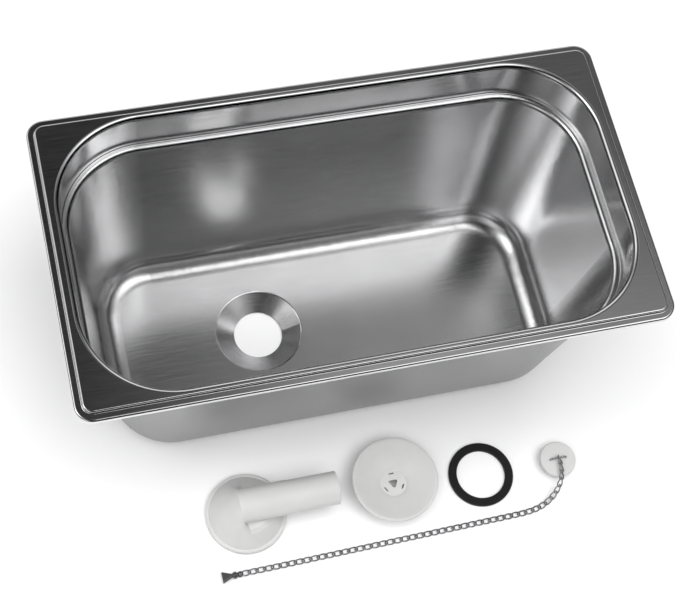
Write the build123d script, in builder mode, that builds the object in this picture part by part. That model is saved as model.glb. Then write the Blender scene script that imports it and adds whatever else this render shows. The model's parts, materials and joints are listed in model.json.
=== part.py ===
"""Drop-in stainless steel sink with its waste kit laid out in front of it.

The origin is the middle of the rim, level with the lower edge of its turned-down lip.
X runs along the long side, Y towards the back and Z up. Millimetres.
"""
import math
import os

from build123d import *

os.makedirs("parts", exist_ok=True)

# Sheet and rim
sheet = 0.8
rim_l = 325.0
rim_w = 176.0
rim_corner_r = 10.0
lip_h = 4.5
step_drop = 2.0
step_w = 4.5
lip_edge_r = 1.4
step_foot_r = 0.6
step_edge_r = 1.0
rim_top = lip_h

# Pan below the rim
pan_depth = 150.0
long_flat = 9.0
end_flat = 11.0
opening_r = 49.0
collar_depth = 28.0
shoulder_w = 4.0
base_half_l = 137.0
base_half_w = 60.0
base_corner_r = 36.0
base_fillet = 15.0
opening_fillet = 2.8
shoulder_fillet = 0.5
shoulder_round = 2.3

# Drain seat pressed into the floor
drain_x = -40.7
drain_y = 4.0
hole_r = 15.0
seat_r = 26.6
seat_depth = 6.8
seat_edge_r = 1.6

# Clearances between the waste parts
seat_gap = 0.6
spigot_gap = 1.0
socket_gap = 0.25
ring_gap = 1.0

# Waste flange
flange_r = seat_r - seat_gap
spigot_r = hole_r - spigot_gap
spigot_bore_r = spigot_r - 2.5
flange_h = 16.0
flange_edge = 1.3
dish_r = flange_r - 1.6
throat_r = 8.2
throat_z = 8.2
strainer_t = 2.0
strainer_z = 5.8
outlet_r = 3.8
outlet_corner_r = 0.9
slot_at_r = 6.0
slot_l = 3.2
slot_w = 0.8

# Sealing ring
ring_in_r = spigot_r + ring_gap
ring_out_r = 20.0
ring_t = 2.4

# Waste elbow
mouth_r = 24.0
mouth_band = 4.5
mitre_top = 5.8
mitre_low = 2.5
dome_r = 15.6
dome_z = 13.6
pipe_r = 10.2
pipe_wall = 2.2
pipe_z = 22.0
pipe_end = 53.5
hose_l = 30.0
hose_step = 0.3
ring_seat_gap = 0.6
ring_seat_depth = 3.0
socket_r = spigot_r + socket_gap
socket_depth = 13.0

# Plug with its staple
plug_h = 8.4
plug_top_r = 11.45
plug_low_r = 9.2
staple_wire = 0.55
staple_span = 10.0
staple_leg = 3.0
staple_bend_r = 1.6

# Chain
link_wire = 0.43
link_pitch = 4.65
link_slack = 0.65
link_half_w = 1.47
link_half_l = (link_pitch + 2 * link_wire + link_slack) / 2
link_stations = 12
link_sides = 6
chain_lift = 1.0
end_rise = 1.3
single_links = 11
run_counts = (8, 8, 7, 7, 7)

# Clip on the end of the chain
eye_r = 1.8
eye_hole_r = 1.0
eye_t = 1.0
neck_r = 1.35
fan_half_w = 3.6
fan_half_t = 1.3
clip_l = 12.5

# Where the loose parts lie, on the level of the lowest edge of the drain seat
cone_rise = seat_depth / (seat_r - hole_r)
sheet_on_cone = sheet * math.hypot(1.0, cone_rise)
base_z = rim_top - pan_depth
floor_z = base_z + sheet
table_z = floor_z - seat_depth - sheet_on_cone
elbow_at = (-71.5, -108.0)
flange_at = (18.5, -108.0)
ring_at = (74.0, -111.5)
plug_at = (122.0, -113.0)


def pan_form(inset):
    """Form of the pan, drawn in by a share of the sheet all round."""
    ledge_z = rim_top - collar_depth - sheet + inset
    rise = 2.0 if inset else 0.0
    collar_half_l = rim_l / 2 - end_flat + sheet - inset
    collar_half_w = rim_w / 2 - long_flat + sheet - inset
    with BuildPart() as form:
        with BuildSketch(Plane.XY.offset(rim_top + rise)):
            RectangleRounded(2 * collar_half_l, 2 * collar_half_w, opening_r + sheet - inset)
        extrude(amount=ledge_z - rim_top - rise)
        with BuildSketch(Plane.XY.offset(ledge_z)):
            RectangleRounded(
                2 * (collar_half_l - shoulder_w),
                2 * (collar_half_w - shoulder_w),
                opening_r + sheet - inset - shoulder_w,
            )
        with BuildSketch(Plane.XY.offset(base_z + inset)):
            RectangleRounded(
                2 * (base_half_l - inset),
                2 * (base_half_w - inset),
                base_corner_r - inset,
            )
        loft(ruled=True)
        fillet(form.edges().group_by(Axis.Z)[0], base_fillet - inset)
        ledge = form.faces().filter_by(Axis.Z).filter_by_position(Axis.Z, ledge_z - 0.01, ledge_z + 0.01)[0]
        fillet(ledge.inner_wires()[0].edges(), shoulder_round + inset)
        ledge = form.faces().filter_by(Axis.Z).filter_by_position(Axis.Z, ledge_z - 0.01, ledge_z + 0.01)[0]
        fillet(ledge.outer_wire().edges(), shoulder_fillet + sheet - inset)
    return form.part


# Basin: rim, pan and drain seat in one pressed sheet
pan_outside = pan_form(0.0)
pan_inside = pan_form(sheet)

with BuildPart() as basin:
    step_z = rim_top - step_drop
    with BuildSketch():
        RectangleRounded(rim_l, rim_w, rim_corner_r)
    extrude(amount=step_z)
    fillet(basin.edges().group_by(Axis.Z)[-1], lip_edge_r)
    with BuildSketch(Plane.XY.offset(step_z)):
        RectangleRounded(rim_l - 2 * step_w, rim_w - 2 * step_w, rim_corner_r - step_w)
    extrude(amount=step_drop)
    fillet(basin.edges().group_by(Axis.Z)[-1], step_edge_r)
    step_face = basin.faces().filter_by(Axis.Z).filter_by_position(Axis.Z, step_z - 0.01, step_z + 0.01)[0]
    fillet(step_face.inner_wires()[0].edges(), step_foot_r)
    with BuildSketch():
        RectangleRounded(rim_l - 2 * sheet, rim_w - 2 * sheet, rim_corner_r - sheet)
    extrude(amount=step_z - sheet, mode=Mode.SUBTRACT)
    with BuildSketch(Plane.XY.offset(step_z - sheet)):
        under = step_w + sheet
        RectangleRounded(rim_l - 2 * under, rim_w - 2 * under, rim_corner_r - under)
    extrude(amount=step_drop, mode=Mode.SUBTRACT)
    add(pan_outside)
    flat_middle_x = rim_l / 2 - (step_w + end_flat) / 2
    flat_middle_y = rim_w / 2 - (step_w + long_flat) / 2
    under_edge = (
        basin.edges()
        .filter_by_position(Axis.Z, rim_top - sheet - 0.01, rim_top - sheet + 0.01)
        .filter_by_position(Axis.X, -flat_middle_x, flat_middle_x)
        .filter_by_position(Axis.Y, -flat_middle_y, flat_middle_y)
    )
    fillet(under_edge, opening_fillet - sheet)
    add(pan_inside, mode=Mode.SUBTRACT)
    opening_edge = (
        basin.edges()
        .filter_by_position(Axis.Z, rim_top - 0.01, rim_top + 0.01)
        .filter_by_position(Axis.X, -flat_middle_x, flat_middle_x)
        .filter_by_position(Axis.Y, -flat_middle_y, flat_middle_y)
    )
    fillet(opening_edge, opening_fillet)
    drain_plane = Plane(origin=(drain_x, drain_y, 0), x_dir=(1, 0, 0), z_dir=(0, -1, 0))
    with BuildSketch(drain_plane):
        with BuildLine():
            Polyline(
                (0, base_z + sheet / 2),
                (hole_r + (base_z + sheet / 2 - table_z) / cone_rise, base_z + sheet / 2),
                (hole_r, table_z),
                (0, table_z),
                close=True,
            )
        make_face()
    revolve(axis=Axis((drain_x, drain_y, 0), (0, 0, 1)))
    with BuildSketch(drain_plane):
        with BuildLine():
            Polyline(
                (0, floor_z),
                (seat_r, floor_z),
                (hole_r, floor_z - seat_depth),
                (hole_r, table_z - 1.0),
                (0, table_z - 1.0),
                close=True,
            )
        make_face()
    revolve(axis=Axis((drain_x, drain_y, 0), (0, 0, 1)), mode=Mode.SUBTRACT)
    seat_edge = (
        basin.edges()
        .filter_by(GeomType.CIRCLE)
        .filter_by_position(Axis.Z, floor_z - 0.01, floor_z + 0.01)
        .filter_by(lambda e: abs(e.radius - seat_r) < 0.01)
    )
    fillet(seat_edge, seat_edge_r)

basin.part.label = "basin"
export_step(basin.part, "parts/basin.step")

# Waste flange: dished top, cone to match the seat, spigot and strainer plate
flange_plane = Plane(origin=(flange_at[0], flange_at[1], table_z), x_dir=(1, 0, 0), z_dir=(0, -1, 0))
flange_axis = Axis((flange_at[0], flange_at[1], table_z), (0, 0, 1))
cone_foot = flange_h - flange_edge - (flange_r - spigot_r) * cone_rise
with BuildPart() as waste_flange:
    with BuildSketch(flange_plane):
        with BuildLine():
            Polyline(
                (spigot_bore_r, 0),
                (spigot_r, 0),
                (spigot_r, cone_foot),
                (flange_r, flange_h - flange_edge),
                (flange_r, flange_h - 0.4),
                (flange_r - 0.4, flange_h),
                (dish_r, flange_h),
                (dish_r - 2.2, flange_h - 0.9),
                (throat_r + 1.6, throat_z + 1.0),
                (throat_r, throat_z),
                (throat_r, strainer_z + strainer_t / 2),
                (spigot_bore_r, strainer_z + strainer_t / 2),
                close=True,
            )
        make_face()
    revolve(axis=flange_axis)
    with BuildSketch(Plane(origin=(flange_at[0], flange_at[1], table_z + strainer_z), z_dir=(0, 0, 1))):
        Circle(spigot_bore_r + 0.4)
        outlet = RegularPolygon(outlet_r, 3, rotation=-90, mode=Mode.SUBTRACT)
        fillet(outlet.vertices(), outlet_corner_r)
        with PolarLocations(slot_at_r, 3, start_angle=-30):
            SlotOverall(slot_l, slot_w, rotation=90, mode=Mode.SUBTRACT)
    extrude(amount=strainer_t)

waste_flange.part.label = "waste_flange"
export_step(waste_flange.part, "parts/waste_flange.step")

# Sealing ring
with BuildPart() as sealing_ring:
    with BuildSketch(Plane(origin=(ring_at[0], ring_at[1], table_z), z_dir=(0, 0, 1))):
        Circle(ring_out_r)
        Circle(ring_in_r, mode=Mode.SUBTRACT)
    extrude(amount=ring_t)
    fillet(sealing_ring.edges().group_by(Axis.Z)[-1], 0.5)
    fillet(sealing_ring.edges().group_by(Axis.Z)[0], 0.5)

sealing_ring.part.label = "sealing_ring"
export_step(sealing_ring.part, "parts/sealing_ring.step")

# Waste elbow: mouth with ring seat and socket, hood and outlet pipe
elbow_plane = Plane(origin=(elbow_at[0], elbow_at[1], table_z), x_dir=(1, 0, 0), z_dir=(0, -1, 0))
elbow_axis = Axis((elbow_at[0], elbow_at[1], table_z), (0, 0, 1))
pipe_plane = Plane(
    origin=(elbow_at[0], elbow_at[1], table_z + pipe_z), x_dir=(0, 1, 0), z_dir=(1, 0, 0)
)
hood_low_r = mouth_r - 0.9
hood_low_z = mouth_band + 0.5
hood_foot = mouth_band - 0.5
mitre_lean = (mitre_top - mitre_low) / 2
mitre_plane = Plane(
    origin=(elbow_at[0] - mitre_low - mitre_lean, elbow_at[1], table_z + pipe_z),
    x_dir=(mitre_lean, 0, -pipe_r),
    z_dir=(pipe_r, 0, mitre_lean),
)


def hood_edges(side):
    """Half of the hood's foot and half of its end in the pipe, from the outer corner to the inner one."""
    end_r = pipe_r - 0.02
    end_x = elbow_at[0] - mitre_low - mitre_lean + 0.1
    foot = []
    end = []
    for i in range(13):
        turn = math.pi * i / 12
        across = side * math.sin(turn)
        along = math.cos(turn)
        foot.append(
            Vector(elbow_at[0] - hood_low_r * along, elbow_at[1] + hood_low_r * across, table_z + hood_foot)
        )
        end.append(
            Vector(end_x - mitre_lean * along, elbow_at[1] + end_r * across, table_z + pipe_z + end_r * along)
        )
    return Edge.make_spline(foot), Edge.make_spline(end)


front_foot, front_end = hood_edges(-1)
back_foot, back_end = hood_edges(1)
hood = Solid(
    Shell(
        [
            Face.make_surface_from_curves(front_foot, front_end),
            Face.make_surface_from_curves(back_foot, back_end),
            Face(Wire([front_foot, back_foot])),
            Face(Wire([front_end, back_end])),
        ]
    )
)
with BuildPart() as pipe:
    with BuildSketch(pipe_plane.offset(-2 * mitre_top)):
        Circle(pipe_r)
    extrude(amount=2 * mitre_top + pipe_end)
    split(bisect_by=mitre_plane, keep=Keep.TOP)

with BuildPart() as waste_elbow:
    with BuildSketch(elbow_plane):
        with BuildLine():
            Polyline(
                (0, 0),
                (mouth_r - 0.5, 0),
                (mouth_r, 0.5),
                (mouth_r, mouth_band),
                (hood_low_r, hood_low_z),
                (hood_low_r - 1.2, hood_low_z),
                (dome_r, dome_z),
                (dome_r - 2.6, dome_z + 2.0),
                (dome_r - 6.6, dome_z + 2.8),
                (0, dome_z + 2.8),
                close=True,
            )
        make_face()
    revolve(axis=elbow_axis)
    add(hood)
    add(pipe.part)
    with BuildSketch(pipe_plane.offset(pipe_end - hose_l)):
        Circle(pipe_r + 1.0)
        Circle(pipe_r - hose_step, mode=Mode.SUBTRACT)
    extrude(amount=hose_l + 1.0, mode=Mode.SUBTRACT)
    fillet(waste_elbow.edges().filter_by(GeomType.CIRCLE).sort_by(Axis.X)[-1], 0.5)
    with BuildSketch(elbow_plane):
        ring_seat_r = ring_out_r + ring_seat_gap
        with BuildLine():
            Polyline(
                (0, 0),
                (ring_seat_r, 0),
                (ring_seat_r, ring_seat_depth),
                (socket_r, ring_seat_depth),
                (socket_r, socket_depth),
                (pipe_r - pipe_wall + 1.0, socket_depth + 0.6),
                (pipe_r - pipe_wall, pipe_z - 3.0),
                (pipe_r - pipe_wall - 1.5, pipe_z + 3.0),
                (0, pipe_z + 5.0),
                close=True,
            )
        make_face()
    revolve(axis=elbow_axis, mode=Mode.SUBTRACT)
    with BuildSketch(pipe_plane):
        Circle(pipe_r - pipe_wall)
    extrude(amount=pipe_end, mode=Mode.SUBTRACT)

waste_elbow.part.label = "waste_elbow"
export_step(waste_elbow.part, "parts/waste_elbow.step")

# Route of the chain: a heading and a dip for each link that bends, then the straight run
bend_turn = (-90, -98, -108, -119, -130, -141, -151, -160, -168, -174, -178)
bend_dip = (0, 0, -6, -24, -38, -33, -20, -7, 0, 0, 0)
run_turn = -179.2
link_count = single_links + sum(run_counts)
rise_from = link_count - run_counts[-1]


def heading(k):
    """Direction of link k, counted from the plug."""
    turn = math.radians(bend_turn[k] if k < single_links else run_turn)
    dip = math.radians(bend_dip[k] if k < single_links else end_rise if k >= rise_from else 0.0)
    return Vector(math.cos(turn) * math.cos(dip), math.sin(turn) * math.cos(dip), math.sin(dip))


drop = -sum(link_pitch * math.sin(math.radians(d)) for d in bend_dip)
staple_reach = link_half_l - link_pitch / 2
staple_z = table_z + chain_lift + drop + staple_reach * heading(0).Z
knots = [Vector(plug_at[0], plug_at[1], staple_z) - heading(0) * staple_reach]
for k in range(link_count + 1):
    knots.append(knots[-1] + heading(k) * link_pitch)


def link_plane(k):
    """Plane of link k: X along the link, turned on edge at the staple and flat on the run."""
    along = heading(k)
    side = Vector(0, 0, 1).cross(along).normalized()
    roll = math.radians(-45.0 * max(0.0, 1.0 - k / single_links))
    above = along.cross(side) * math.cos(roll) - side * math.sin(roll)
    return Plane(origin=(knots[k] + knots[k + 1]) * 0.5, x_dir=along, z_dir=above)


# Plug and staple
with BuildPart() as plug_body:
    with BuildSketch(Plane(origin=(plug_at[0], plug_at[1], table_z), z_dir=(0, 0, 1))):
        Circle(plug_low_r)
    with BuildSketch(Plane(origin=(plug_at[0], plug_at[1], table_z + plug_h), z_dir=(0, 0, 1))):
        Circle(plug_top_r)
    loft()
    fillet(plug_body.edges().group_by(Axis.Z)[-1], 0.9)
    fillet(plug_body.edges().group_by(Axis.Z)[0], 0.4)
    leg_holes = Plane(origin=(plug_at[0], plug_at[1], table_z + plug_h - staple_leg), z_dir=(0, 0, 1))
    with BuildSketch(leg_holes):
        with GridLocations(staple_span, 1, 2, 1):
            Circle(staple_wire + 0.03)
    extrude(amount=staple_leg + 1.0, mode=Mode.SUBTRACT)

plug_body.part.label = "plug_body"
export_step(plug_body.part, "parts/plug_body.step")

staple_plane = Plane(origin=(plug_at[0], plug_at[1], table_z), x_dir=(1, 0, 0), z_dir=(0, -1, 0))
staple_foot = plug_h - staple_leg
staple_top = staple_z - table_z
with BuildPart() as plug_staple:
    with BuildLine(staple_plane) as staple_path:
        FilletPolyline(
            (-staple_span / 2, staple_foot),
            (-staple_span / 2, staple_top),
            (staple_span / 2, staple_top),
            (staple_span / 2, staple_foot),
            radius=staple_bend_r,
        )
    with BuildSketch(Plane(origin=staple_path.line @ 0, z_dir=staple_path.line % 0)):
        Circle(staple_wire)
    sweep(path=staple_path.line)

plug_staple.part.label = "plug_staple"
export_step(plug_staple.part, "parts/plug_staple.step")


def wire_point(t):
    """Point of a link's middle line: an oval given a quarter twist from end to end."""
    x = link_half_l * math.cos(t)
    across = link_half_w * math.sin(t)
    twist = math.radians(45.0) * math.cos(t)
    return Vector(x, across * math.cos(twist), across * math.sin(twist))


def twisted_link():
    """One link of bent wire, as a closed skin of flat facets."""
    rings = []
    for i in range(link_stations):
        t = 2 * math.pi * i / link_stations
        middle = wire_point(t)
        along = (wire_point(t + 0.01) - wire_point(t - 0.01)).normalized()
        outward = (middle - along * middle.dot(along)).normalized()
        other = along.cross(outward)
        turns = [2 * math.pi * j / link_sides for j in range(link_sides)]
        rings.append(
            [middle + outward * (link_wire * math.cos(u)) + other * (link_wire * math.sin(u)) for u in turns]
        )
    facets = []
    for i in range(link_stations):
        here = rings[i]
        onward = rings[(i + 1) % link_stations]
        for j in range(link_sides):
            n = (j + 1) % link_sides
            facets.append(Face(Wire.make_polygon([here[j], here[n], onward[n]])))
            facets.append(Face(Wire.make_polygon([here[j], onward[n], onward[j]])))
    return Solid(Shell(facets))


# Chain: single links round the bend, then runs of links
link = twisted_link()
for k in range(single_links):
    single = link_plane(k) * link
    single.label = f"chain_link_{k + 1:02d}"
    export_step(single, f"parts/chain_link_{k + 1:02d}.step")

first = single_links
for n, count in enumerate(run_counts):
    run = Compound(children=[link_plane(k) * link for k in range(first, first + count)])
    run.label = f"chain_run_{n + 1}"
    export_step(run, f"parts/chain_run_{n + 1}.step")
    first += count

# Clip on the last link: eye on edge to the link, neck and flared tail
clip_dir = heading(link_count)
clip_side = Vector(0, 0, 1).cross(clip_dir).normalized()
eye_centre = knots[link_count] + clip_dir * staple_reach
eye_normal = clip_side * math.cos(math.radians(45)) + Vector(0, 0, 1) * math.sin(math.radians(45))
clip_line = Plane(origin=eye_centre, x_dir=clip_side, z_dir=clip_dir)
with BuildPart() as end_clip:
    with BuildSketch(Plane(origin=eye_centre, x_dir=clip_dir, z_dir=eye_normal)):
        Circle(eye_r)
        Circle(eye_hole_r, mode=Mode.SUBTRACT)
    extrude(amount=eye_t / 2, both=True)
    with BuildSketch(clip_line.offset(eye_hole_r + 0.35)):
        Circle(neck_r)
    with BuildSketch(clip_line.offset(5.2)):
        Circle(neck_r)
    loft()
    with BuildSketch(clip_line.offset(5.2)):
        RectangleRounded(2 * neck_r, 2 * neck_r, neck_r - 0.01)
    with BuildSketch(clip_line.offset(clip_l - eye_r)):
        RectangleRounded(2 * fan_half_w, 2 * fan_half_t, fan_half_t - 0.01)
    loft()
    with BuildSketch(clip_line.offset(2.2)):
        Circle(neck_r + 0.75)
    extrude(amount=1.8)

end_clip.part.label = "end_clip"
export_step(end_clip.part, "parts/end_clip.step")
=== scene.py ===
"""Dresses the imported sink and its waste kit: finishes, chain links and the studio."""
import json
import math

import bpy
from mathutils import Matrix, Vector


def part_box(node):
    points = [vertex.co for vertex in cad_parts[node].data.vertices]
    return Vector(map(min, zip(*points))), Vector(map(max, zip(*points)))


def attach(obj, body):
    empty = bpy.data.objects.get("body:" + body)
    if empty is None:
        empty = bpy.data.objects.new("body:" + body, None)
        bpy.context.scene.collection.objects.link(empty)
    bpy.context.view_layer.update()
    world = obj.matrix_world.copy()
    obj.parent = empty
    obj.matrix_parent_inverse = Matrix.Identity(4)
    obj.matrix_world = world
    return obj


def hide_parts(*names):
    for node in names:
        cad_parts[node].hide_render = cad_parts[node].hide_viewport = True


bl_info = {
    "name": "Drop-in sink with waste kit",
    "version": (1, 0, 0),
    "blender": (4, 5, 0),
    "location": "View3D > Sidebar > Sink",
    "description": "Finishes and small parts for a pressed steel sink and its waste kit",
    "category": "Object",
}

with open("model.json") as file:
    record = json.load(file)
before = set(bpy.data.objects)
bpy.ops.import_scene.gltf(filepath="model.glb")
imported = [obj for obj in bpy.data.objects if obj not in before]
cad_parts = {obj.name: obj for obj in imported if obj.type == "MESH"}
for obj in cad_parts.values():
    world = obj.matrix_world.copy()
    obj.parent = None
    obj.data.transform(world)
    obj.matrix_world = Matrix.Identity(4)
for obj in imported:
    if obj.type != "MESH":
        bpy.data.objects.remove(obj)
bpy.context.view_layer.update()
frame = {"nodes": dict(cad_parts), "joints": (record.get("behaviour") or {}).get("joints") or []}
NODES = frame["nodes"]
JOINTS = {joint["name"]: joint for joint in frame["joints"]}
TABLE_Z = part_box("plug_body")[0][2]
MM = 0.001

# Noise values between which a mask goes from 0 to 1
MASK_LOW = 0.3
MASK_HIGH = 0.7

# Heights of the surface marks, and the depth at which the pan's own finish is reached
GRAIN_HEIGHT = 0.02 * MM
SKIN_HEIGHT = 0.05 * MM
SATIN_DEPTH = 35 * MM

# How much a downward face counts as outside, beside its distance from the middle in metres
UNDERSIDE_WEIGHT = 0.3

# Floor and top lamp, in metres
FLOOR_SIZE = 40.0
FLOOR_GAP = 0.3 * MM
LAMP_SIZE = 2.2
LAMP_PLACE = (-0.1, -0.6, 2.3)

# Camera solved from the rim in the photograph, in degrees and metres from the middle of the rim
CAMERA_TURN = -27.52
CAMERA_LIFT = 65.27
CAMERA_ROLL = 15.68
CAMERA_DISTANCE = 0.84324
CAMERA_RIGHT = -0.00268
CAMERA_UP = -0.04425
SENSOR_WIDTH = 36.0


class SteelSettings(bpy.types.PropertyGroup):
    """Finish of the pressed sheet, with painted shade darkening its outer skin."""

    colour: bpy.props.FloatVectorProperty(
        name="Steel", description="Colour of the bare sheet", subtype="COLOR",
        size=4, min=0.0, max=1.0, default=(0.70, 0.70, 0.705, 1.0))
    roughness: bpy.props.FloatProperty(
        name="Rim roughness", description="How satin the rim is", min=0.05, max=0.8, default=0.13)
    inside: bpy.props.FloatProperty(
        name="Pan roughness", description="How satin the pan is", min=0.05, max=0.8, default=0.23)
    outside: bpy.props.FloatProperty(
        name="Outside roughness", description="How dull the unpolished outside is",
        min=0.05, max=0.8, default=0.36)
    # Painted shade: a much darker colour for the outer skin below the rim, standing in for the dark
    # reflection there
    outside_painted_shade: bpy.props.FloatVectorProperty(
        name="Outside", description="Colour of the unpolished outside", subtype="COLOR",
        size=4, min=0.0, max=1.0, default=(0.28, 0.28, 0.285, 1.0))
    grain: bpy.props.FloatProperty(
        name="Grain", description="Depth of the rolling grain", min=0.0, max=1.0, default=0.06)


class KitSettings(bpy.types.PropertyGroup):
    """Finish of the loose waste parts."""

    plastic: bpy.props.FloatVectorProperty(
        name="Plastic", description="Colour of the moulded parts", subtype="COLOR",
        size=4, min=0.0, max=1.0, default=(0.62, 0.62, 0.615, 1.0))
    rubber: bpy.props.FloatVectorProperty(
        name="Rubber", description="Colour of the sealing ring", subtype="COLOR",
        size=4, min=0.0, max=1.0, default=(0.007, 0.007, 0.0075, 1.0))


class ChainSettings(bpy.types.PropertyGroup):
    """Size and finish of the chain."""

    wire: bpy.props.FloatProperty(
        name="Wire", description="Radius of the link wire", subtype="DISTANCE",
        min=0.0001, max=0.002, default=0.43 * MM, precision=5)
    half_width: bpy.props.FloatProperty(
        name="Half width", description="Half the width of a link's middle line", subtype="DISTANCE",
        min=0.0005, max=0.005, default=1.47 * MM, precision=5)
    pitch: bpy.props.FloatProperty(
        name="Pitch", description="Distance from link to link", subtype="DISTANCE",
        min=0.001, max=0.02, default=4.65 * MM, precision=5)
    slack: bpy.props.FloatProperty(
        name="Slack", description="Play between two links", subtype="DISTANCE",
        min=0.0, max=0.002, default=0.65 * MM, precision=5)
    metal: bpy.props.FloatVectorProperty(
        name="Chain metal", description="Colour of the plated links", subtype="COLOR",
        size=4, min=0.0, max=1.0, default=(0.43, 0.43, 0.44, 1.0))
    clip: bpy.props.FloatVectorProperty(
        name="Clip metal", description="Colour of the end clip", subtype="COLOR",
        size=4, min=0.0, max=1.0, default=(0.20, 0.20, 0.205, 1.0))


class StageSettings(bpy.types.PropertyGroup):
    """Floor, light and camera."""

    floor: bpy.props.FloatVectorProperty(
        name="Floor", description="Colour of the pale floor", subtype="COLOR",
        size=4, min=0.0, max=1.0, default=(0.93, 0.93, 0.93, 1.0))
    top_light: bpy.props.FloatProperty(
        name="Top light", description="Power of the broad top light in watts",
        min=0.0, max=500.0, default=62.0)
    lens: bpy.props.FloatProperty(
        name="Lens", description="Focal length of the camera in millimetres",
        min=10.0, max=300.0, default=81.4)


# Soft boxes round the sink: turn and lift in degrees, strength and focus
SOFT_BOXES = {
    "left": (175, 45, 3.0, 30),
    "left behind": (155, 55, 1.0, 30),
    "right above": (0, 65, 1.0, 30),
    "right in front": (-35, 60, 2.0, 30),
    "low behind, right": (60, 28, 1.2, 30),
    "low behind, middle": (90, 28, 1.2, 30),
    "low behind, left": (135, 28, 1.5, 30),
    "low in front, left": (-135, 28, 1.0, 30),
    "spot for the rim": (60, 65, 0.4, 200),
    "spot for the pan, high": (-55, 80, 2.0, 250),
    "spot for the pan, low": (-65, 68, 2.0, 250),
}

# Links of the bend, each its own body, and links in each straight run
SINGLE_LINKS = 11
RUN_COUNTS = (8, 8, 7, 7, 7)


def new_group(name, inputs, outputs):
    """A shader node group with its sockets and its two end nodes."""
    tree = bpy.data.node_groups.new(name, "ShaderNodeTree")
    for socket, kind, value in inputs:
        made = tree.interface.new_socket(name=socket, in_out="INPUT", socket_type=kind)
        made.default_value = value
    for socket, kind in outputs:
        tree.interface.new_socket(name=socket, in_out="OUTPUT", socket_type=kind)
    return tree, tree.nodes.new("NodeGroupInput"), tree.nodes.new("NodeGroupOutput")


def grain_group():
    """Fine drawn grain along X with a broad cloudiness."""
    name = "Drawn grain"
    if name in bpy.data.node_groups:
        return bpy.data.node_groups[name]
    tree, given, out = new_group(
        name,
        (("Fineness", "NodeSocketFloat", 900.0), ("Stretch", "NodeSocketFloat", 0.05)),
        (("Grain", "NodeSocketFloat"), ("Cloud", "NodeSocketFloat")),
    )
    coords = tree.nodes.new("ShaderNodeTexCoord")
    scale = tree.nodes.new("ShaderNodeCombineXYZ")
    scale.inputs["Y"].default_value = 1.0
    scale.inputs["Z"].default_value = 1.0
    tree.links.new(given.outputs["Stretch"], scale.inputs["X"])
    drawn = tree.nodes.new("ShaderNodeMapping")
    tree.links.new(coords.outputs["Object"], drawn.inputs["Vector"])
    tree.links.new(scale.outputs["Vector"], drawn.inputs["Scale"])
    lines = tree.nodes.new("ShaderNodeTexNoise")
    lines.inputs["Detail"].default_value = 3.0
    tree.links.new(drawn.outputs["Vector"], lines.inputs["Vector"])
    tree.links.new(given.outputs["Fineness"], lines.inputs["Scale"])
    cloud = tree.nodes.new("ShaderNodeTexNoise")
    cloud.inputs["Scale"].default_value = 28.0
    cloud.inputs["Detail"].default_value = 4.0
    tree.links.new(coords.outputs["Object"], cloud.inputs["Vector"])
    tree.links.new(lines.outputs["Fac"], out.inputs["Grain"])
    tree.links.new(cloud.outputs["Fac"], out.inputs["Cloud"])
    return tree


def moulded_group():
    """Slight flow marks and fine texture of a moulded surface."""
    name = "Moulded skin"
    if name in bpy.data.node_groups:
        return bpy.data.node_groups[name]
    tree, given, out = new_group(
        name,
        (("Fineness", "NodeSocketFloat", 700.0), ("Flow", "NodeSocketFloat", 60.0)),
        (("Height", "NodeSocketFloat"), ("Mottle", "NodeSocketFloat")),
    )
    coords = tree.nodes.new("ShaderNodeTexCoord")
    fine = tree.nodes.new("ShaderNodeTexNoise")
    fine.inputs["Detail"].default_value = 2.0
    flow = tree.nodes.new("ShaderNodeTexNoise")
    flow.inputs["Detail"].default_value = 3.0
    flow.inputs["Distortion"].default_value = 0.6
    for noise, socket in ((fine, "Fineness"), (flow, "Flow")):
        tree.links.new(coords.outputs["Object"], noise.inputs["Vector"])
        tree.links.new(given.outputs[socket], noise.inputs["Scale"])
    tree.links.new(fine.outputs["Fac"], out.inputs["Height"])
    tree.links.new(flow.outputs["Fac"], out.inputs["Mottle"])
    return tree


def calculate(tree, operation, first, second=0.0):
    """One step of arithmetic on a linked value and a linked or set one."""
    step = tree.nodes.new("ShaderNodeMath")
    step.operation = operation
    tree.links.new(first, step.inputs[0])
    if isinstance(second, float):
        step.inputs[1].default_value = second
    else:
        tree.links.new(second, step.inputs[1])
    return step.outputs["Value"]


def soft_box_group():
    """Light from one direction that falls off smoothly to all sides."""
    name = "Soft box"
    if name in bpy.data.node_groups:
        return bpy.data.node_groups[name]
    tree, given, out = new_group(
        name,
        (
            ("Direction", "NodeSocketVector", (0.0, 0.0, 0.0)),
            ("Towards", "NodeSocketVector", (0.0, 0.0, 1.0)),
            ("Strength", "NodeSocketFloat", 1.0),
            ("Focus", "NodeSocketFloat", 30.0),
        ),
        (("Light", "NodeSocketFloat"),),
    )
    near = tree.nodes.new("ShaderNodeVectorMath")
    near.operation = "DOT_PRODUCT"
    tree.links.new(given.outputs["Direction"], near.inputs[0])
    tree.links.new(given.outputs["Towards"], near.inputs[1])
    off_axis = calculate(tree, "SUBTRACT", near.outputs["Value"], 1.0)
    narrowed = calculate(tree, "MULTIPLY", off_axis, given.outputs["Focus"])
    glow = calculate(tree, "EXPONENT", narrowed)
    light = calculate(tree, "MULTIPLY", glow, given.outputs["Strength"])
    tree.links.new(light, out.inputs["Light"])
    return tree


def new_material(name):
    """An empty node material with its shader."""
    material = bpy.data.materials.new(name)
    material.use_nodes = True
    return material, material.node_tree, material.node_tree.nodes["Principled BSDF"]


def place_group(tree, group, **values):
    """Places a node group in a material with its own values."""
    node = tree.nodes.new("ShaderNodeGroup")
    node.node_tree = group
    for socket, value in values.items():
        node.inputs[socket].default_value = value
    return node


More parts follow.
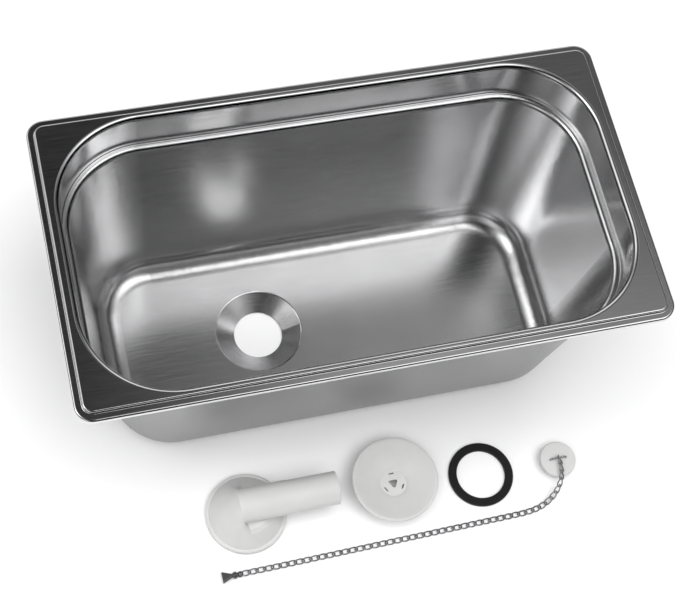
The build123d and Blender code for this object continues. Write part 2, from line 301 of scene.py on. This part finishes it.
def spread(tree, source, low, high):
    """Turns a 0 to 1 mask into a range of values."""
    node = tree.nodes.new("ShaderNodeMapRange")
    node.inputs["From Min"].default_value = MASK_LOW
    node.inputs["From Max"].default_value = MASK_HIGH
    node.inputs["To Min"].default_value = low
    node.inputs["To Max"].default_value = high
    tree.links.new(source, node.inputs["Value"])
    return node.outputs["Result"]


def tint(tree, source, colour, low, high):
    """Lightens and darkens one colour by a mask."""
    ramp = tree.nodes.new("ShaderNodeValToRGB")
    ramp.color_ramp.elements[0].position = MASK_LOW
    ramp.color_ramp.elements[1].position = MASK_HIGH
    ramp.color_ramp.elements[0].color = [c * low for c in colour[:3]] + [1.0]
    ramp.color_ramp.elements[1].color = [min(1.0, c * high) for c in colour[:3]] + [1.0]
    tree.links.new(source, ramp.inputs["Fac"])
    return ramp.outputs["Color"]


def add_bump(tree, shader, height, strength, distance):
    """Raises a height onto the shader's normal."""
    bump = tree.nodes.new("ShaderNodeBump")
    bump.inputs["Strength"].default_value = strength
    bump.inputs["Distance"].default_value = distance
    tree.links.new(height, bump.inputs["Height"])
    tree.links.new(bump.outputs["Normal"], shader.inputs["Normal"])


def own_place(tree):
    """Coordinates node of a material, and X, Y and Z in the piece's own frame."""
    coords = tree.nodes.new("ShaderNodeTexCoord")
    parts = tree.nodes.new("ShaderNodeSeparateXYZ")
    tree.links.new(coords.outputs["Object"], parts.inputs["Vector"])
    return coords, parts.outputs


def add_by_depth(tree, value, end, extra):
    """Adds an extra amount that grows from the rim down to one depth."""
    coords, place = own_place(tree)
    depth = tree.nodes.new("ShaderNodeMapRange")
    depth.inputs["From Min"].default_value = 0.0
    depth.inputs["From Max"].default_value = -end
    depth.inputs["To Min"].default_value = 0.0
    depth.inputs["To Max"].default_value = extra
    tree.links.new(place["Z"], depth.inputs["Value"])
    return calculate(tree, "ADD", value, depth.outputs["Result"])


def outside_mask(tree):
    """Is 1 on the outer skin below the rim and 0 on the rim and the inside; it carries the outside's painted
    shade and duller roughness.
    """
    coords, place = own_place(tree)
    away = tree.nodes.new("ShaderNodeCombineXYZ")
    away.inputs["Z"].default_value = -UNDERSIDE_WEIGHT
    for axis in "XY":
        tree.links.new(place[axis], away.inputs[axis])
    facing = tree.nodes.new("ShaderNodeVectorMath")
    facing.operation = "DOT_PRODUCT"
    tree.links.new(coords.outputs["Normal"], facing.inputs[0])
    tree.links.new(away.outputs["Vector"], facing.inputs[1])
    outward = calculate(tree, "GREATER_THAN", facing.outputs["Value"], 0.0)
    below = calculate(tree, "LESS_THAN", place["Z"], 0.0)
    return calculate(tree, "MULTIPLY", outward, below)


def mix_in(tree, mask, kind, first, second):
    """Blends a linked value or colour with a set one by a mask."""
    mix = tree.nodes.new("ShaderNodeMix")
    mix.data_type = kind
    sockets = [socket for socket in mix.inputs if socket.enabled]
    tree.links.new(mask, sockets[0])
    tree.links.new(first, sockets[1])
    sockets[2].default_value = second
    return next(socket for socket in mix.outputs if socket.enabled)


def metal_material(name, colour, roughness, fineness, stretch, grain, inside=None, outside=None):
    """Metal with a drawn grain; inside is a pan's roughness, outside a darker outer colour of painted shade
    and a duller roughness.
    """
    material, tree, shader = new_material(name)
    marks = place_group(tree, grain_group(), Fineness=fineness, Stretch=stretch)
    shader.inputs["Metallic"].default_value = 1.0
    shade = tint(tree, marks.outputs["Cloud"], colour, 0.96, 1.03)
    satin = spread(tree, marks.outputs["Grain"], roughness - 0.03, roughness + 0.04)
    if inside is not None:
        satin = add_by_depth(tree, satin, SATIN_DEPTH, inside - roughness)
    if outside:
        mask = outside_mask(tree)
        # Painted shade: the outer skin takes the darker outside colour; its higher roughness below is the
        # duller sheet
        shade = mix_in(tree, mask, "RGBA", shade, outside[0])
        satin = mix_in(tree, mask, "FLOAT", satin, outside[1])
    tree.links.new(shade, shader.inputs["Base Color"])
    tree.links.new(satin, shader.inputs["Roughness"])
    add_bump(tree, shader, marks.outputs["Grain"], grain, GRAIN_HEIGHT)
    return material


def moulded_material(name, colour, roughness, fineness, bump):
    """Moulded plastic or rubber."""
    material, tree, shader = new_material(name)
    skin = place_group(tree, moulded_group(), Fineness=fineness, Flow=60.0)
    tree.links.new(tint(tree, skin.outputs["Mottle"], colour, 0.97, 1.03), shader.inputs["Base Color"])
    tree.links.new(
        spread(tree, skin.outputs["Height"], roughness - 0.04, roughness + 0.05), shader.inputs["Roughness"])
    add_bump(tree, shader, skin.outputs["Height"], bump, SKIN_HEIGHT)
    return material


def dress(node, material):
    """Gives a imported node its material."""
    slots = NODES[node].material_slots
    for slot in slots:
        slot.material = material
    if not slots:
        NODES[node].data.materials.append(material)


def deselect():
    """Leaves edit mode and selects nothing."""
    if bpy.context.object and bpy.context.object.mode != "OBJECT":
        bpy.ops.object.mode_set(mode="OBJECT")
    bpy.ops.object.select_all(action="DESELECT")


class SINK_OT_basin(bpy.types.Operator):
    """Gives the pressed basin its satin steel."""

    bl_idname = "sink.basin"
    bl_label = "Basin"

    def execute(self, context):
        steel = context.scene.sink_steel
        dress("basin", metal_material(
            "satin_steel", steel.colour, steel.roughness, fineness=1600.0, stretch=0.04, grain=steel.grain,
            inside=steel.inside, outside=(steel.outside_painted_shade, steel.outside)))
        return {"FINISHED"}


class SINK_OT_waste(bpy.types.Operator):
    """Gives the flange, elbow, plug and ring their finishes."""

    bl_idname = "sink.waste"
    bl_label = "Waste parts"

    def execute(self, context):
        kit = context.scene.sink_kit
        plastic = moulded_material("white_plastic", kit.plastic, roughness=0.42, fineness=900.0, bump=0.08)
        for node in ("waste_flange", "waste_elbow", "plug_body"):
            dress(node, plastic)
        dress("sealing_ring", moulded_material(
            "black_rubber", kit.rubber, roughness=0.6, fineness=1500.0, bump=0.2))
        return {"FINISHED"}


def chain_knots(pitch, reach):
    """Points where the links meet, from the staple to the clip."""
    staple = Vector(JOINTS["link_01_turn"]["pos_m"])
    second = Vector(JOINTS["link_02_turn"]["pos_m"])
    away = (second - staple).normalized()
    knots = [second - away * pitch]
    for k in range(1, SINGLE_LINKS):
        knots.append(Vector(JOINTS[f"link_{k + 1:02d}_turn"]["pos_m"]))
    starts = [Vector(JOINTS["run_1_turn"]["pos_m"])]
    for n in range(1, len(RUN_COUNTS)):
        starts.append(Vector(JOINTS[f"run_{n + 1}_swing"]["pos_m"]))
    last = Vector(JOINTS["clip_swing"]["pos_m"])
    starts.append(last - (last - starts[-1]).normalized() * reach)
    for n, count in enumerate(RUN_COUNTS):
        step = (starts[n + 1] - starts[n]) / count
        knots.extend(starts[n] + step * i for i in range(count))
    knots.append(starts[-1])
    return knots


def link_placing(start, end, roll):
    """Matrix of a link: X along it, turned on its length by roll."""
    along = (end - start).normalized()
    side = Vector((0.0, 0.0, 1.0)).cross(along).normalized()
    above = along.cross(side) * math.cos(roll) - side * math.sin(roll)
    across = above.cross(along)
    turned = Matrix((along, across, above)).transposed().to_4x4()
    return Matrix.Translation((start + end) / 2) @ turned


def twisted_link(chain, half_length):
    """One link of bent wire with a quarter twist, at the origin along X."""
    deselect()
    bpy.ops.curve.primitive_bezier_circle_add(radius=1.0)
    ring = bpy.context.object
    ring.data.resolution_u = 7
    bpy.ops.object.mode_set(mode="EDIT")
    bpy.ops.curve.select_all(action="SELECT")
    bpy.ops.transform.resize(value=(half_length, chain.half_width, 1.0))
    bpy.ops.object.mode_set(mode="OBJECT")
    ring.data.bevel_depth = chain.wire
    ring.data.bevel_resolution = 2
    bpy.ops.object.convert(target="MESH")
    link = bpy.context.object
    twist = link.modifiers.new("Quarter twist", "SIMPLE_DEFORM")
    twist.deform_method = "TWIST"
    twist.deform_axis = "X"
    twist.angle = math.radians(90.0)
    bpy.ops.object.modifier_apply(modifier=twist.name)
    bpy.ops.object.shade_smooth()
    return link


class SINK_OT_chain(bpy.types.Operator):
    """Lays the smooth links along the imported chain."""

    bl_idname = "sink.chain"
    bl_label = "Chain"

    def execute(self, context):
        chain = context.scene.sink_chain
        half_length = chain.pitch / 2 + chain.wire + chain.slack / 2
        knots = chain_knots(chain.pitch, half_length - chain.pitch / 2)
        plated = metal_material(
            "plated_links", chain.metal, roughness=0.26, fineness=2600.0, stretch=0.3, grain=0.1)
        pattern = twisted_link(chain, half_length)
        pattern.data.materials.append(plated)
        groups = [(f"link_{k + 1:02d}", f"chain_link_{k + 1:02d}", (k,)) for k in range(SINGLE_LINKS)]
        first = SINGLE_LINKS
        for n, count in enumerate(RUN_COUNTS):
            groups.append((f"run_{n + 1}", f"chain_run_{n + 1}", range(first, first + count)))
            first += count
        for body, node, members in groups:
            copies = []
            for k in members:
                copy = pattern.copy()
                copy.data = pattern.data.copy()
                context.collection.objects.link(copy)
                roll = math.radians(-45.0 * max(0.0, 1.0 - k / SINGLE_LINKS))
                copy.data.transform(link_placing(knots[k], knots[k + 1], roll))
                copies.append(copy)
            deselect()
            for copy in copies:
                copy.select_set(True)
            context.view_layer.objects.active = copies[0]
            if len(copies) > 1:
                bpy.ops.object.join()
            piece = context.view_layer.objects.active
            piece.name = f"{body}_wire"
            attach(piece, body)
            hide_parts(node)
        bpy.data.objects.remove(pattern)
        dress("plug_staple", plated)
        dress("end_clip", metal_material(
            "clip_metal", chain.clip, roughness=0.36, fineness=2200.0, stretch=0.2, grain=0.15))
        return {"FINISHED"}


class SINK_OT_stage(bpy.types.Operator):
    """Sets up the pale floor, the soft light and the camera."""

    bl_idname = "sink.stage"
    bl_label = "Stage"

    def execute(self, context):
        stage = context.scene.sink_stage
        deselect()
        bpy.ops.mesh.primitive_plane_add(size=FLOOR_SIZE, location=(0.0, 0.0, TABLE_Z - FLOOR_GAP))
        floor = context.object
        floor.name = "floor"
        bpy.ops.object.transform_apply(location=True)
        material, tree, shader = new_material("pale_floor")
        shader.inputs["Base Color"].default_value = stage.floor
        shader.inputs["Roughness"].default_value = 0.9
        shader.inputs["Specular IOR Level"].default_value = 0.1
        floor.data.materials.append(material)
        self.light_world(context)
        self.add_lamps(stage)
        self.add_camera(context, stage)
        return {"FINISHED"}

    def light_world(self, context):
        """Dark room with the soft boxes round the sink."""
        world = bpy.data.worlds.new("soft_room")
        context.scene.world = world
        world.use_nodes = True
        tree = world.node_tree
        coords = tree.nodes.new("ShaderNodeTexCoord")
        total = None
        for turn, lift, strength, focus in SOFT_BOXES.values():
            turn, lift = math.radians(turn), math.radians(lift)
            box = place_group(
                tree, soft_box_group(), Strength=strength, Focus=focus,
                Towards=(math.cos(turn) * math.cos(lift), math.sin(turn) * math.cos(lift), math.sin(lift)))
            tree.links.new(coords.outputs["Generated"], box.inputs["Direction"])
            light = box.outputs["Light"]
            total = calculate(tree, "ADD", total, light) if total else light
        shade = tree.nodes["Background"]
        shade.inputs["Strength"].default_value = 1.0
        tree.links.new(total, shade.inputs["Color"])

    def add_lamps(self, stage):
        """One broad top light for the floor and the pale parts."""
        data = bpy.data.lights.new("top", "AREA")
        data.size = LAMP_SIZE
        data.energy = stage.top_light
        lamp = bpy.data.objects.new("top", data)
        bpy.context.collection.objects.link(lamp)
        lamp.location = LAMP_PLACE
        lamp.visible_glossy = False
        lamp.rotation_euler = lamp.location.to_track_quat("Z", "Y").to_euler()

    def add_camera(self, context, stage):
        """Camera that sees the rim as the photograph does."""
        turn, lift, roll = (math.radians(angle) for angle in (CAMERA_TURN, CAMERA_LIFT, CAMERA_ROLL))
        back = Vector((math.sin(turn) * math.cos(lift), -math.cos(turn) * math.cos(lift), math.sin(lift)))
        flat = Vector((math.cos(turn), math.sin(turn), 0.0))
        rise = back.cross(flat)
        right = flat * math.cos(roll) + rise * math.sin(roll)
        up = rise * math.cos(roll) - flat * math.sin(roll)
        rim_top = Vector((0.0, 0.0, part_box("basin")[1][2]))
        data = bpy.data.cameras.new("camera")
        data.sensor_width = SENSOR_WIDTH
        data.lens = stage.lens
        camera = bpy.data.objects.new("camera", data)
        context.collection.objects.link(camera)
        camera.matrix_world = Matrix.Translation(
            rim_top + back * CAMERA_DISTANCE + right * CAMERA_RIGHT + up * CAMERA_UP
        ) @ Matrix((right, up, back)).transposed().to_4x4()
        context.scene.camera = camera
        context.scene.view_settings.view_transform = "Standard"


class SINK_PT_panel(bpy.types.Panel):
    """Lists the pieces in the sidebar."""

    bl_idname = "SINK_PT_panel"
    bl_label = "Sink"
    bl_space_type = "VIEW_3D"
    bl_region_type = "UI"
    bl_category = "Sink"

    def draw(self, context):
        for operator in OPERATORS:
            self.layout.operator(operator.bl_idname)


SETTINGS = (
    ("sink_steel", SteelSettings),
    ("sink_kit", KitSettings),
    ("sink_chain", ChainSettings),
    ("sink_stage", StageSettings),
)
OPERATORS = (SINK_OT_basin, SINK_OT_waste, SINK_OT_chain, SINK_OT_stage)


def register():
    for name, group in SETTINGS:
        bpy.utils.register_class(group)
        setattr(bpy.types.Scene, name, bpy.props.PointerProperty(type=group))
    for operator in OPERATORS:
        bpy.utils.register_class(operator)
    bpy.utils.register_class(SINK_PT_panel)


def unregister():
    bpy.utils.unregister_class(SINK_PT_panel)
    for operator in reversed(OPERATORS):
        bpy.utils.unregister_class(operator)
    for name, group in reversed(SETTINGS):
        delattr(bpy.types.Scene, name)
        bpy.utils.unregister_class(group)


def main():
    register()
    bpy.ops.sink.basin()
    bpy.ops.sink.waste()
    bpy.ops.sink.chain()
    bpy.ops.sink.stage()


if __name__ == "__main__":
    main()
